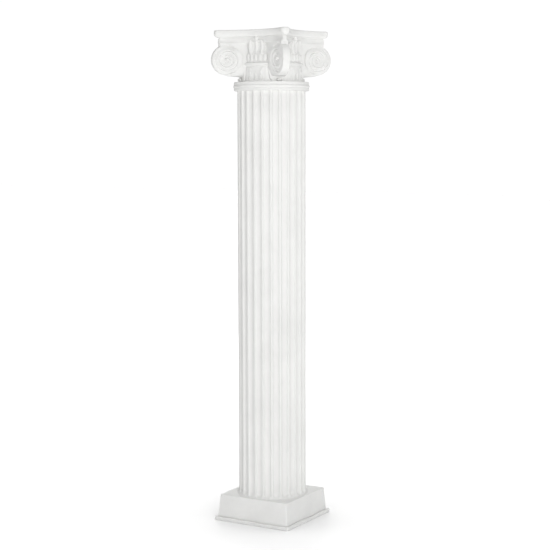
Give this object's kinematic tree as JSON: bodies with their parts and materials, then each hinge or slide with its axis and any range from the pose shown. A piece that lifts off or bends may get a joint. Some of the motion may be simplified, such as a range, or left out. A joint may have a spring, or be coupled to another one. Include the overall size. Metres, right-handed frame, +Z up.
{
  "type": "ionic column",
  "caption": "White fluted Ionic column, two metres tall, on a square plinth, with an angular capital, corner volutes and a concave-sided abacus.",
  "frame": {"origin": "middle of the plinth's underside", "axes": "+Z up the shaft's axis; the plinth's four faces are square to X and Y, and the four volutes stand on the diagonals"},
  "size_m": [0.3706, 0.3706, 2],
  "materials": {
    "white_cast": "matt off-white moulded shell with faint mottling, like painted plaster or fibreglass"
  },
  "bodies": {
    "root": {"plinth": "white_cast", "shaft": "white_cast", "capital": "white_cast"}
  },
  "joints": []
}
